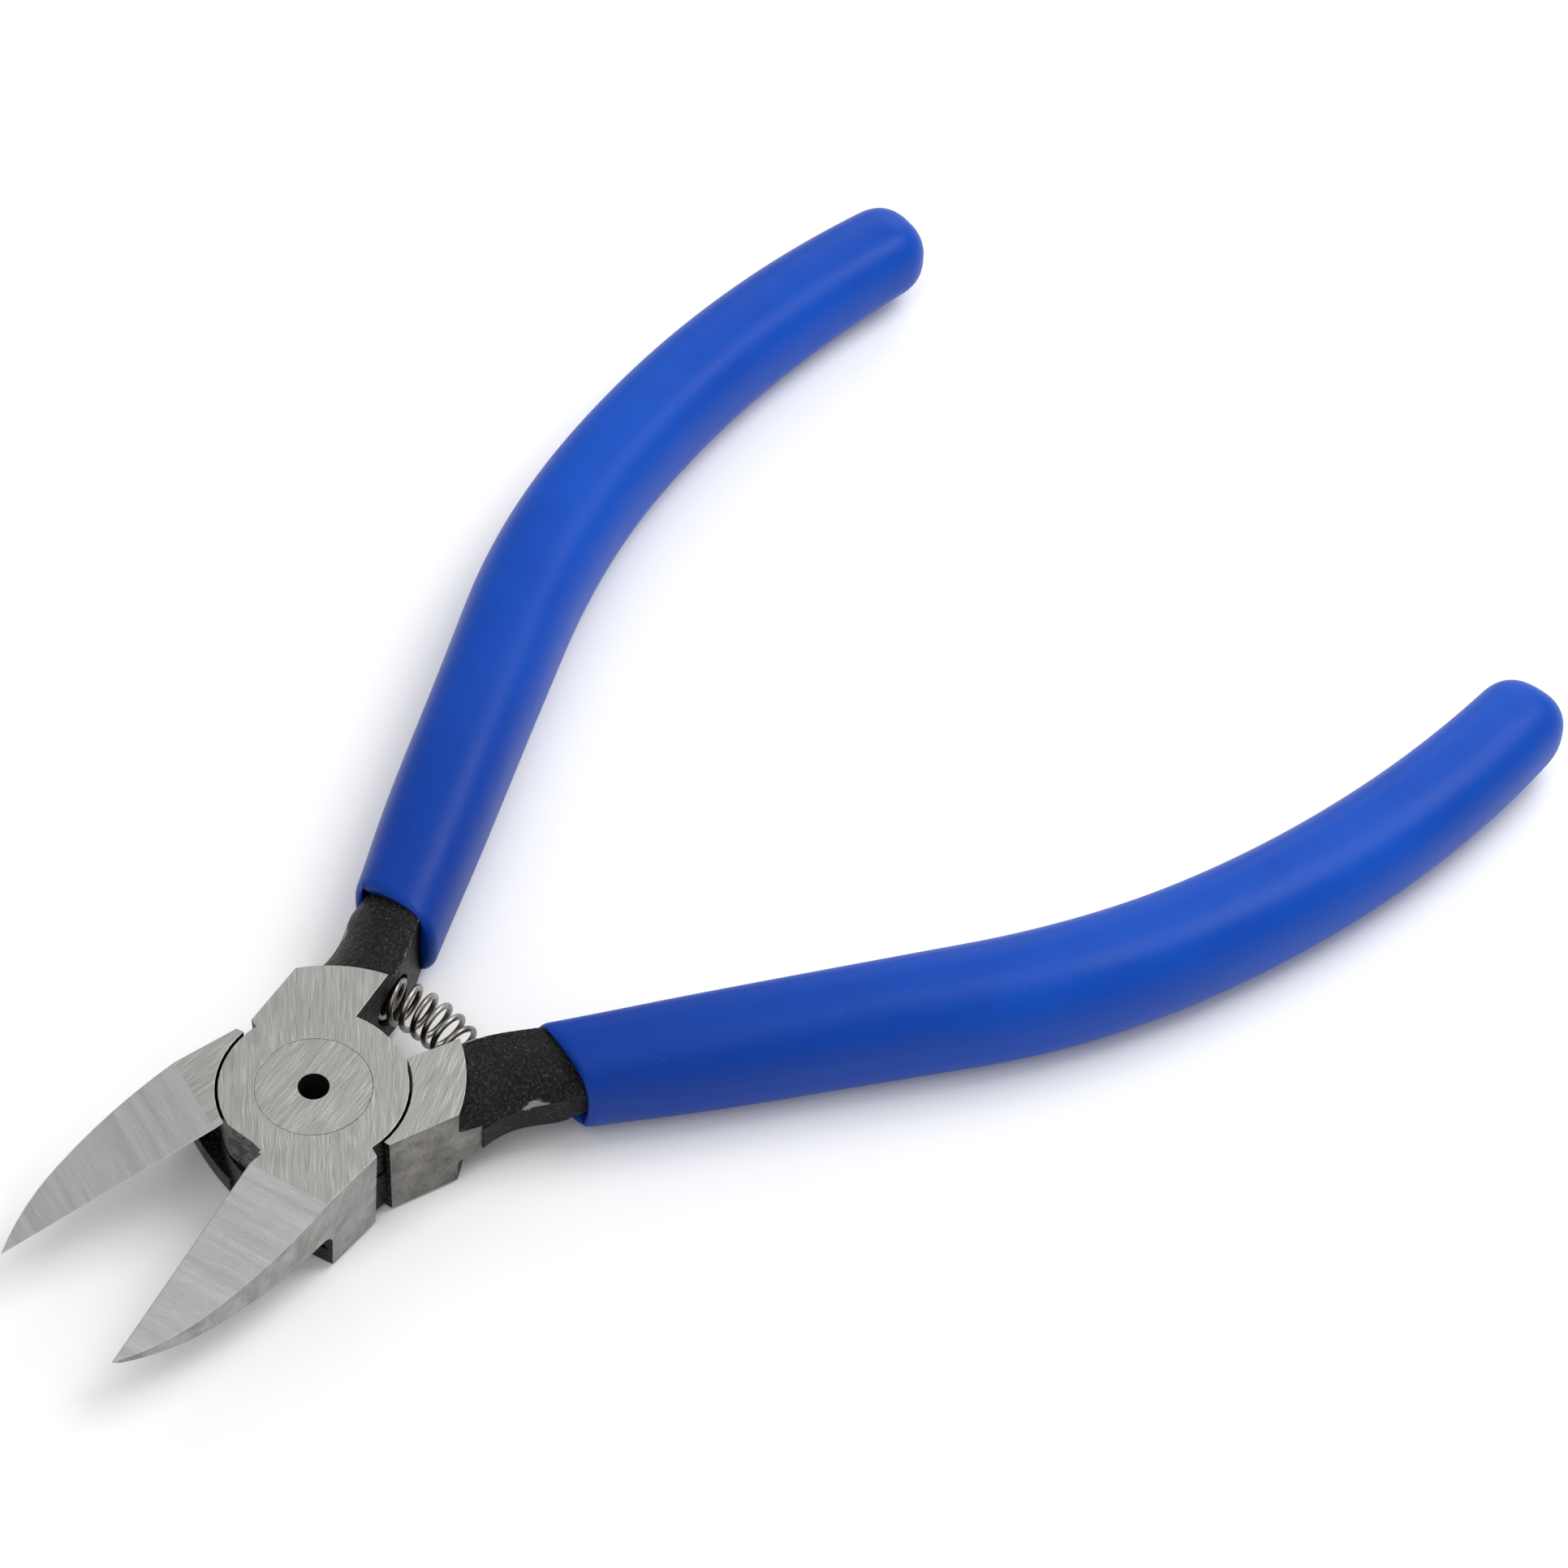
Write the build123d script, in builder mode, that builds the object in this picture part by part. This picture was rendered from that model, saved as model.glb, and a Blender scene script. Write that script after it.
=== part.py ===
"""Diagonal cutting pliers: two lapped levers on a hollow rivet, a coil return spring and two dipped grips.

Frame: origin on the pivot axis at half the head's thickness, +X towards the jaw tips, +Z up through the
head. The upper lever has its jaw on +Y and its handle on -Y, the lower lever the other way round.
"""

from build123d import *
from math import atan2, cos, hypot, pi, radians, sin, tan
import os

os.makedirs("parts", exist_ok=True)

# Head and lap joint
head_thickness = 10.8
top = head_thickness / 2
lap_gap = 0.06
boss_radius = 8.9
boss_gap = 0.3
boss_chamfer = 0.45
throat_flat = ((8.66, -2.05), (8.27, 0.9), (8.3, 2.12), (9.6, 2.4), (9.6, -2.4))

# Rivet: two flush heads on a hollow shank
rivet_head_radius = 5.5
rivet_head_height = 2.2
rivet_shank_radius = 3.4
rivet_bore_radius = 1.5
running_clearance = 0.05

# Jaw: plan outline, sloping top, hollow-ground underside and cutting bevel
tip = (31.15, 7.92)
tip_height = 0.33
edge_gap = 0.03
jaw_rear_inner = (0.45, 8.35)
jaw_rear_outer = (0.91, 9.93)
jaw_shoulder = (7.72, 10.87)
jaw_widest = (14.8, 11.43)
jaw_taper = (22.0, 11.05)
jaw_nose = (27.4, 9.83)
jaw_plan_end = (31.9, 7.7)
edge_stock = 0.4
crease_inner = (9.9, 2.52)
step_x = 9.0
step_radius = 31.6
underside_root = 0.05
underside_belly = -0.45
step_cove = 1.3
bevel_angle = 42.0

# Handle block behind the pivot; the head's outer walls lean in towards the bottom by side_draft
side_draft = 1.7
block_front_inner = (-0.42, -8.3)
block_front_outer = (-0.76, -9.76)
block_outer_rear = (-7.78, -11.56)
block_rear_mid = (-11.1, -8.9)
block_inner_rear = (-13.7, -5.07)
block_inner_front = (-8.05, -3.37)
ground_wall_length = 9.7

# Handle mid-line: a radial straight, then two bends that bring it parallel to the tool
handle_angle = 30.54
handle_straight = 63.9
bend_one_radius = 90.0
bend_one_angle = 15.54
bend_two_radius = 120.0
handle_end = 136.0
tang_end = 127.0

# Neck and tang sections: distance along the mid-line, inner and outer edge offsets, half height at each edge
neck_stations = (
    (11.2, -1.2, 6.75, 4.15, 1.6),
    (14.0, -2.5, 6.0, 4.2, 1.5),
    (16.5, -3.08, 4.66, 4.25, 1.4),
    (19.5, -3.2, 3.95, 4.25, 1.5),
    (24.0, -3.1, 3.65, 4.2, 1.5),
)
tang_stations = (
    neck_stations[-1],
    (50.0, -3.3, 3.5, 4.2, 1.8),
    (80.0, -3.4, 3.4, 4.0, 2.0),
    (105.0, -3.0, 3.0, 3.4, 1.8),
    (tang_end, -2.4, 2.4, 2.6, 1.4),
)
tang_steps = 8
neck_cove = 0.8

# Grip sections: distance along the mid-line, sideways shift, half width and half height
grip_stations = (
    (17.0, -0.15, 4.6, 5.1),
    (26.0, -0.12, 4.75, 5.2),
    (36.0, 0.0, 5.1, 5.45),
    (52.0, 0.0, 5.25, 5.8),
    (70.0, 0.0, 5.5, 5.8),
    (90.0, 0.0, 5.3, 5.6),
    (110.0, 0.0, 5.15, 5.15),
    (125.0, 0.0, 4.9, 4.75),
    (handle_end, 0.0, 4.6, 4.45),
)
grip_steps = 12
grip_cap_length = 4.6
grip_cap_steps = 7
grip_squareness = 2.5
grip_mouth = (-20.3, 12.3)
grip_mouth_tilt = 10.7

# Return spring, on an arc about the pivot, and its pockets in the handle necks
spring_arc_radius = 15.75
spring_half_angle = 29.0
spring_pitch = 1.66
spring_mean_radius = 2.1
spring_wire_radius = 0.31
spring_points_per_turn = 8
pocket_radius = 2.75
pocket_mouth_angle = 18.8
pocket_floor_angle = 33.0
pocket_run_out = 1.5

# Boxes that take everything away on one side of a plane
clear_size = 60.0
on_plane = (Align.CENTER, Align.CENTER, Align.MIN)


def superellipse(half_width, half_height, shift=0.0, steps=24):
    """Points round a squarish oval, starting on its outer side."""
    power = 2 / grip_squareness
    points = []
    for i in range(steps):
        angle = radians(360 * i / steps)
        c = cos(angle)
        s = sin(angle)
        u = half_width * abs(c) ** power * (1 if c > 0 else -1)
        v = half_height * abs(s) ** power * (1 if s > 0 else -1)
        points.append((u + shift, v))
    return points


def handle_point(distance, side):
    """Mid-line position and heading at a distance from the pivot; the handle lies on -Y when side is 1."""
    bend_one_length = bend_one_radius * radians(bend_one_angle)
    heading = radians(handle_angle)
    x = min(distance, handle_straight) * cos(heading)
    y = min(distance, handle_straight) * sin(heading)
    rest = distance - handle_straight
    for radius, length in ((bend_one_radius, bend_one_length), (bend_two_radius, 1000.0)):
        if rest > 0:
            turned = heading - min(rest, length) / radius
            x += radius * (sin(heading) - sin(turned))
            y += radius * (cos(turned) - cos(heading))
            heading = turned
            rest -= length
    return (-x, -side * y), heading


def handle_plane(distance, side):
    """Section plane across the handle: local x points away from the other handle, local y is up."""
    (x, y), heading = handle_point(distance, side)
    outward = Vector(sin(heading), -side * cos(heading), 0)
    return Plane(origin=(x, y, 0), x_dir=outward, z_dir=outward.cross(Vector(0, 0, 1)))


def blended(stations, distance):
    """A station's sizes at any distance, by straight interpolation in the table."""
    for before, after in zip(stations, stations[1:]):
        if before[0] <= distance <= after[0]:
            share = (distance - before[0]) / (after[0] - before[0])
            return tuple(a + (b - a) * share for a, b in zip(before, after))
    return stations[-1]


def tang_face(station, side):
    """Section of the neck or tang: flat inner wall, crowned top and bottom, narrow outer wall."""
    distance, inner, outer, inner_height, outer_height = station
    crown_offset = inner * 0.42 + outer * 0.58
    crown_height = inner_height * 0.9 + outer_height * 0.1
    with BuildSketch(handle_plane(distance, side)) as section:
        with BuildLine():
            Line((inner, -inner_height), (inner, inner_height))
            ThreePointArc((inner, inner_height), (crown_offset, crown_height), (outer, outer_height))
            Line((outer, outer_height), (outer, -outer_height))
            ThreePointArc((outer, -outer_height), (crown_offset, -crown_height), (inner, -inner_height))
        make_face()
    return section.sketch.face()


def grip_face(station, side, scale=1.0):
    """Section of the grip, a squarish oval."""
    distance, shift, half_width, half_height = station
    with BuildSketch(handle_plane(distance, side)) as section:
        with BuildLine():
            Spline(superellipse(half_width * scale, half_height * scale, shift), periodic=True)
        make_face()
    return section.sketch.face()


def spring_arc_point(angle, side, reach=spring_arc_radius, height=0.0):
    """Point at an angle from -X about the pivot, towards the handle of the lever on that side."""
    return (-reach * cos(radians(angle)), -side * reach * sin(radians(angle)), height)


def jaw_plane(side):
    """Plane of the blade's top face, through the crease and the tip."""
    inner = Vector(crease_inner[0], side * crease_inner[1], top)
    outer = Vector(jaw_shoulder[0], side * jaw_shoulder[1], top)
    point = Vector(tip[0], side * tip[1], tip_height)
    normal = (outer - inner).cross(point - inner).normalized()
    if normal.Z < 0:
        normal = normal * -1
    return Plane(origin=inner, x_dir=(outer - inner), z_dir=normal)


# Space under the jaws: everything in front of the curved step, below a slightly bellied underside
with BuildPart() as jaw_relief:
    with BuildSketch(Plane.XZ) as relief_profile:
        with BuildLine():
            ThreePointArc((2, underside_root), (21, underside_belly), (34, underside_root + 0.1))
            Polyline((34, underside_root + 0.1), (34, -8), (2, -8), (2, underside_root))
        make_face()
    extrude(amount=15, both=True)
    with Locations((step_x - step_radius, 0, 0)):
        Cylinder(step_radius, 40, mode=Mode.SUBTRACT)
    cove_edge = jaw_relief.edges().filter_by(lambda e: abs(e.center().Z) < 0.6 and e.center().X < 9.5)
    cove_edge = cove_edge.filter_by(lambda e: e.length > 25)
    fillet(cove_edge, radius=step_cove)


def lever(side, disc_low, disc_high, shaft_clearance):
    """One forged lever. side 1 puts the jaw on +Y; the pivot disc fills disc_low to disc_high."""

    def at(point):
        return (point[0], side * point[1])

    def along_edge(distance, offset):
        """A point on the closing-side line of the jaw; a positive offset moves it away from the other jaw."""
        heading = atan2(tip[1], tip[0])
        x = distance * cos(heading) - offset * sin(heading)
        y = distance * sin(heading) + offset * cos(heading)
        return (x, y)

    edge_root = along_edge(8.1, edge_gap)
    edge_tip = along_edge(hypot(*tip), edge_gap)
    plan_root = along_edge(7.9, -edge_stock)

    with BuildPart() as body:
        # Jaw and handle block, full thickness
        with BuildSketch(Plane.XY.offset(top)):
            with BuildLine():
                Polyline(at(plan_root), at(jaw_rear_inner), at(jaw_rear_outer), at(jaw_shoulder))
                ThreePointArc(at(jaw_shoulder), at(jaw_widest), at(jaw_taper))
                ThreePointArc(at(jaw_taper), at(jaw_nose), at(jaw_plan_end))
                Line(at(jaw_plan_end), at(plan_root))
            make_face()
            with BuildLine():
                Polyline(at(block_inner_front), at(block_front_inner), at(block_front_outer))
                Line(at(block_front_outer), at(block_outer_rear))
                ThreePointArc(at(block_outer_rear), at(block_rear_mid), at(block_inner_rear))
                Line(at(block_inner_rear), at(block_inner_front))
            make_face()
        extrude(amount=-head_thickness, taper=side_draft)
        add(jaw_relief.part, mode=Mode.SUBTRACT)

        # Sloping top face of the blade
        with Locations(jaw_plane(side)):
            Box(clear_size, clear_size, clear_size, align=on_plane, mode=Mode.SUBTRACT)

        # Cutting bevel: a wedge taken away under the edge
        edge_start = Vector(edge_root[0], side * edge_root[1], 0)
        start_height = jaw_plane(side).to_local_coords(edge_start).Z / -jaw_plane(side).z_dir.Z
        drop = start_height + 3
        recede = drop * tan(radians(bevel_angle))
        along = Vector(edge_tip[0] - edge_root[0], side * (edge_tip[1] - edge_root[1]), 0)
        run = along.length
        slope = (tip_height - start_height) / run
        sideways = Vector(0, 0, 1).cross(along.normalized()) * side
        sections = []
        for distance in (0, run * 1.03):
            origin = edge_start + along.normalized() * distance
            origin += Vector(0, 0, start_height + slope * distance)
            plane = Plane(origin=origin, x_dir=sideways, z_dir=along.normalized())
            up = 1 if plane.y_dir.Z > 0 else -1
            with BuildSketch(plane) as wedge_section:
                Polygon((0, 0), (0, up), (-2, up), (-2, -up * drop), (recede, -up * drop), align=None)
            sections.append(wedge_section.sketch)
        loft(sections=[s.face() for s in sections], mode=Mode.SUBTRACT)

        # Neck and tang
        loft(sections=[tang_face(station, side) for station in neck_stations])
        tang_start = tang_stations[0][0]
        tang_pitch = (tang_end - tang_start) / tang_steps
        tang_distances = [tang_start + tang_pitch * i for i in range(tang_steps + 1)]
        loft(sections=[tang_face(blended(tang_stations, distance), side) for distance in tang_distances])

        # Coves where the neck leaves the block
        junction = body.edges().filter_by(lambda e: e.center().X < 0 and e.length > 7)
        junction = junction.filter_by(lambda e: 13.0 < hypot(e.center().X, e.center().Y) < 15.0)
        junction = junction.filter_by(lambda e: 2 < abs(e.center().Z) < 5)
        fillet(junction, radius=neck_cove)

        # Ground outer wall of the block, carried on over the start of the neck
        wall_start = Vector(block_front_outer[0], side * block_front_outer[1], top)
        wall_run = Vector(block_outer_rear[0], side * block_outer_rear[1], top) - wall_start
        wall_outward = wall_run.normalized().cross(Vector(0, 0, -side))
        wall_outward = (wall_outward - Vector(0, 0, tan(radians(side_draft)))).normalized()
        with Locations(Plane(origin=wall_start, x_dir=wall_run, z_dir=wall_outward)):
            Box(2 * ground_wall_length, clear_size, head_thickness, align=on_plane, mode=Mode.SUBTRACT)

        # Pivot disc, and the wall that clears the other lever's disc
        other_low = -top if disc_low > -top else disc_high
        other_high = disc_low if disc_low > -top else top
        with Locations((0, 0, other_low)):
            Cylinder(
                boss_radius + boss_gap,
                other_high - other_low,
                align=on_plane,
                mode=Mode.SUBTRACT,
            )
        with BuildSketch(Plane.XZ) as disc_profile:
            Polygon(
                (0, disc_low),
                (boss_radius - boss_chamfer, disc_low),
                (boss_radius, disc_low + boss_chamfer),
                (boss_radius, disc_high),
                (0, disc_high),
                align=None,
            )
        revolve(profiles=disc_profile.sketch, axis=Axis.Z)
        if disc_high == top:
            with BuildSketch(Plane.XY.offset(disc_low)) as throat:
                Polygon(*throat_flat, align=None)
            extrude(throat.sketch, amount=disc_high - disc_low + 0.1, mode=Mode.SUBTRACT)

        # Rivet bore with a countersunk seat for the flush head on this lever's side
        seat_floor = top - rivet_head_height if disc_high == top else -top
        Cylinder(rivet_shank_radius + shaft_clearance, head_thickness, mode=Mode.SUBTRACT)
        with Locations((0, 0, seat_floor - (shaft_clearance if disc_high == top else 0))):
            Cylinder(
                rivet_head_radius + shaft_clearance,
                rivet_head_height + shaft_clearance,
                align=on_plane,
                mode=Mode.SUBTRACT,
            )

        # Spring pocket in the neck's inner wall
        mouth = Vector(*spring_arc_point(pocket_mouth_angle, side))
        inward = Vector(*spring_arc_point(pocket_floor_angle, side)) - mouth
        pocket_start = mouth - inward.normalized() * pocket_run_out
        with Locations(Plane(origin=pocket_start, z_dir=inward)):
            Cylinder(
                pocket_radius,
                inward.length + pocket_run_out,
                align=on_plane,
                mode=Mode.SUBTRACT,
            )
    return body.part


def grip(side, lever_part):
    """One dipped grip: a hollow sleeve over the lever's tang, closed at the rear end."""
    first = grip_stations[0][0]
    cap_start = handle_end - grip_cap_length
    pitch = (cap_start - first) / grip_steps
    distances = [first + pitch * i for i in range(grip_steps + 1)]
    with BuildPart() as sleeve:
        loft(sections=[grip_face(blended(grip_stations, distance), side) for distance in distances])
        caps = []
        for i in range(grip_cap_steps + 1):
            share = sin(radians(88 * i / grip_cap_steps))
            scale = (1 - share**grip_squareness) ** (1 / grip_squareness)
            station = blended(grip_stations, cap_start + grip_cap_length * share)
            caps.append(grip_face(station, side, scale))
        loft(sections=caps, ruled=True)
        mouth_axis = Vector(1, 0, 0).rotate(Axis.Z, side * grip_mouth_tilt)
        with Locations(Plane(origin=(grip_mouth[0], -side * grip_mouth[1], 0), z_dir=mouth_axis)):
            Box(clear_size, clear_size, clear_size, align=on_plane, mode=Mode.SUBTRACT)
        add(lever_part, mode=Mode.SUBTRACT)
    return sleeve.part


with BuildPart() as upper_lever:
    add(lever(1, lap_gap / 2, top, running_clearance))
upper_lever.part.label = "upper_lever"
export_step(upper_lever.part, "parts/upper_lever.step")

with BuildPart() as lower_lever:
    add(lever(-1, -top, -lap_gap / 2, 0.0))
lower_lever.part.label = "lower_lever"
export_step(lower_lever.part, "parts/lower_lever.step")

with BuildPart() as upper_grip:
    add(grip(1, upper_lever.part))
upper_grip.part.label = "upper_grip"
export_step(upper_grip.part, "parts/upper_grip.step")

with BuildPart() as lower_grip:
    add(grip(-1, lower_lever.part))
lower_grip.part.label = "lower_grip"
export_step(lower_grip.part, "parts/lower_grip.step")

# Hollow rivet: flush head, plain shank, flush set head
with BuildPart() as pivot_rivet:
    with BuildSketch(Plane.XZ) as rivet_profile:
        with BuildLine():
            Polyline(
                (rivet_bore_radius, -top),
                (rivet_head_radius, -top),
                (rivet_head_radius, -top + rivet_head_height),
                (rivet_shank_radius, -top + rivet_head_height),
                (rivet_shank_radius, top - rivet_head_height),
                (rivet_head_radius, top - rivet_head_height),
                (rivet_head_radius, top),
                (rivet_bore_radius, top),
                close=True,
            )
        make_face()
    revolve(axis=Axis.Z)
pivot_rivet.part.label = "pivot_rivet"
export_step(pivot_rivet.part, "parts/pivot_rivet.step")

# Return spring between the necks: a coil whose middle line is an arc about the pivot
arc_length = 2 * spring_arc_radius * radians(spring_half_angle)
spring_turns = arc_length / spring_pitch
steps = int(spring_turns * spring_points_per_turn)
coil_points = []
for step in range(steps + 1):
    turned = 2 * pi * spring_turns * step / steps
    coil_points.append(
        spring_arc_point(
            spring_half_angle * (2 * step / steps - 1),
            1,
            spring_arc_radius + spring_mean_radius * cos(turned),
            spring_mean_radius * sin(turned),
        )
    )
with BuildPart() as return_spring:
    with BuildLine() as coil:
        Spline(coil_points)
    with BuildSketch(Plane(origin=coil.line @ 0, z_dir=coil.line % 0)):
        Circle(spring_wire_radius)
    sweep(path=coil.line)
return_spring.part.label = "return_spring"
export_step(return_spring.part, "parts/return_spring.step")
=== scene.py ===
"""Diagonal cutting pliers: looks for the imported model. Metres, in the CAD frame.

The levers and the rivet are the CAD parts with steel and black-oxide materials. The two dipped grips and the
return spring are finer meshes that stand for their CAD nodes.
"""
import math

import bpy
import numpy as np
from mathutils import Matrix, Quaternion, Vector


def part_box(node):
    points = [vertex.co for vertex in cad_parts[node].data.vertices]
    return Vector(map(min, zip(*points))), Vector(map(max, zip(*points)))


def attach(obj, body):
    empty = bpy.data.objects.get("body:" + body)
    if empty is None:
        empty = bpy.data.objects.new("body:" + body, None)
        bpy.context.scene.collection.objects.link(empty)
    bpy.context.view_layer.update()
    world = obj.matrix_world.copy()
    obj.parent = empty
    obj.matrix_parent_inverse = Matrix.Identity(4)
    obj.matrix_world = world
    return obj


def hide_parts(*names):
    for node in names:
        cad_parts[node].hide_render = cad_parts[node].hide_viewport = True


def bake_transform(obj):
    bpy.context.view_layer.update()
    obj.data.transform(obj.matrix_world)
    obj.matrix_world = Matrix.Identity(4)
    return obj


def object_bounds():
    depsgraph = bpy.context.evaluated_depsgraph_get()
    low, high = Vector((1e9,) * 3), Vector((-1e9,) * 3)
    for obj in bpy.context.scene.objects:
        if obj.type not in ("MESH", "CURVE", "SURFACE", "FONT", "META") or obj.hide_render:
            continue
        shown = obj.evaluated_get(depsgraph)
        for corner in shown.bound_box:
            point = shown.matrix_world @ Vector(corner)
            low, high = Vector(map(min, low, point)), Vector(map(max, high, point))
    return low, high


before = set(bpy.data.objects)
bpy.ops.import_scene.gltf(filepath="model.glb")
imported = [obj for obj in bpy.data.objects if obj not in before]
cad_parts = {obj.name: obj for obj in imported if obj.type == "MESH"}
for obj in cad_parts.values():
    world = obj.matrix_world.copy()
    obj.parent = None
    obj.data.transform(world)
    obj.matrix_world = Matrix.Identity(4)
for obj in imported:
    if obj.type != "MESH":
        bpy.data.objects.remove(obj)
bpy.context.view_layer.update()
scene = bpy.context.scene
MM = 0.001

# ---------------------------------------------------------- sizes that the looks share with the CAD, in mm
HEAD_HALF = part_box("pivot_rivet")[1].z / MM
SIDES = {"upper": 1, "lower": -1}

HANDLE_ANGLE = 30.54
HANDLE_STRAIGHT = 63.9
BEND_ONE_RADIUS = 90.0
BEND_ONE_ANGLE = 15.54
BEND_TWO_RADIUS = 120.0
HANDLE_END = 136.0
TANG_STATIONS = (  # distance, inner edge, outer edge, half height at each
    (16.5, -3.08, 4.66, 4.25, 1.4),
    (19.5, -3.2, 3.95, 4.25, 1.5),
    (24.0, -3.1, 3.65, 4.2, 1.5),
    (50.0, -3.3, 3.5, 4.2, 1.8),
    (80.0, -3.4, 3.4, 4.0, 2.0),
    (105.0, -3.0, 3.0, 3.4, 1.8),
    (127.0, -2.4, 2.4, 2.6, 1.4),
)
GRIP_STATIONS = (  # distance, sideways shift, half width, half height
    (17.0, -0.15, 4.6, 5.1),
    (26.0, -0.12, 4.75, 5.2),
    (36.0, 0.0, 5.1, 5.45),
    (52.0, 0.0, 5.25, 5.8),
    (70.0, 0.0, 5.5, 5.8),
    (90.0, 0.0, 5.3, 5.6),
    (110.0, 0.0, 5.15, 5.15),
    (125.0, 0.0, 4.9, 4.75),
    (HANDLE_END, 0.0, 4.6, 4.45),
)
GRIP_CAP_LENGTH = 4.6
GRIP_SQUARENESS = 2.5
MOUTH_POINT = (-20.3, 12.3)
MOUTH_TILT = 10.7

SPRING_ARC = 15.75
SPRING_HALF_ANGLE = 29.0
SPRING_PITCH = 1.66
SPRING_MEAN = 2.1
SPRING_WIRE = 0.31
SPRING_PHASE = 200.0


# ---------------------------------------------------------- mesh helpers
def new_mesh_object(name, points, faces):
    """A smooth-shaded mesh object from points in mm."""
    mesh = bpy.data.meshes.new(name)
    mesh.from_pydata([Vector(p) * MM for p in points], [], faces)
    mesh.validate()
    mesh.shade_smooth()
    obj = bpy.data.objects.new(name, mesh)
    scene.collection.objects.link(obj)
    return obj


def tube_faces(rings, around, close_ends=True):
    """Quads between rings of points that follow each other, with an end cap on the first and last ring."""
    faces = []
    for ring in range(rings - 1):
        for i in range(around):
            j = (i + 1) % around
            a, b = ring * around, (ring + 1) * around
            faces.append((a + i, a + j, b + j, b + i))
    if close_ends:
        faces.append(tuple(reversed(range(around))))
        faces.append(tuple(range((rings - 1) * around, rings * around)))
    return faces


def smooth_table(stations, distance):
    """A row of sizes at any distance, on a smooth curve through the rows."""
    rows = np.array(stations)
    x = rows[:, 0]
    slope = np.gradient(rows[:, 1:], x, axis=0)
    i = int(np.clip(np.searchsorted(x, distance) - 1, 0, len(x) - 2))
    step = x[i + 1] - x[i]
    t = min(max((distance - x[i]) / step, 0.0), 1.0)
    start, end = rows[i, 1:], rows[i + 1, 1:]
    return (
        (1 + 2 * t) * (1 - t) ** 2 * start
        + t * (1 - t) ** 2 * step * slope[i]
        + t * t * (3 - 2 * t) * end
        + t * t * (t - 1) * step * slope[i + 1]
    )


# ---------------------------------------------------------- grips
def handle_point(distance, side):
    """Mid-line point and outward direction of a handle: a radial straight, then two bends."""
    heading = math.radians(HANDLE_ANGLE)
    x = min(distance, HANDLE_STRAIGHT) * math.cos(heading)
    y = min(distance, HANDLE_STRAIGHT) * math.sin(heading)
    rest = distance - HANDLE_STRAIGHT
    bends = ((BEND_ONE_RADIUS, BEND_ONE_RADIUS * math.radians(BEND_ONE_ANGLE)), (BEND_TWO_RADIUS, 1000.0))
    for radius, length in bends:
        if rest > 0:
            turned = heading - min(rest, length) / radius
            x += radius * (math.sin(heading) - math.sin(turned))
            y += radius * (math.cos(turned) - math.cos(heading))
            heading = turned
            rest -= length
    return Vector((-x, -side * y, 0)), Vector((math.sin(heading), -side * math.cos(heading), 0))


def oval(angle, half_width, half_height):
    """Point of a squarish oval."""
    power = 2 / GRIP_SQUARENESS
    c, s = math.cos(angle), math.sin(angle)
    return (math.copysign(abs(c) ** power, c) * half_width, math.copysign(abs(s) ** power, s) * half_height)


def tang_point(direction, sizes):
    """Where a ray from the mid-line leaves the tang's section: straight sides, crowned top and bottom."""
    inner, outer, inner_height, outer_height = sizes
    u, v = direction
    length = math.hypot(u, v)
    u, v = u / length, v / length
    reach = outer / u if u > 1e-6 else inner / u if u < -1e-6 else 1e6
    crown = inner * 0.42 + outer * 0.58
    crown_height = inner_height * 0.9 + outer_height * 0.1
    height = np.polyfit((inner, crown, outer), (inner_height, crown_height, outer_height), 2)
    t = reach
    if abs(v) > 1e-6:
        t = inner_height / abs(v)
        for _ in range(12):
            t = np.polyval(height, min(max(u * t, inner), outer)) / abs(v)
    t = min(t, reach)
    return (u * t, v * t)


def grip_section(distance, side, angle, inward=0.0):
    """Point on the grip's outside, or that far inside it."""
    shift, half_width, half_height = smooth_table(GRIP_STATIONS, distance)
    u, v = oval(angle, half_width - inward, half_height - inward)
    origin, outward = handle_point(distance, side)
    return origin + outward * (u + shift) + Vector((0, 0, v))


def mouth_distance(side, angle):
    """Distance along the handle at which the grip's outside meets the tilted mouth plane."""
    tilt = math.radians(side * MOUTH_TILT)
    normal = Vector((math.cos(tilt), math.sin(tilt), 0))
    on_plane = Vector((MOUTH_POINT[0], -side * MOUTH_POINT[1], 0))
    near, far = 15.0, 34.0
    for _ in range(30):
        middle = (near + far) / 2
        if (grip_section(middle, side, angle) - on_plane).dot(normal) > 0:
            near = middle
        else:
            far = middle
    return near


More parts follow.
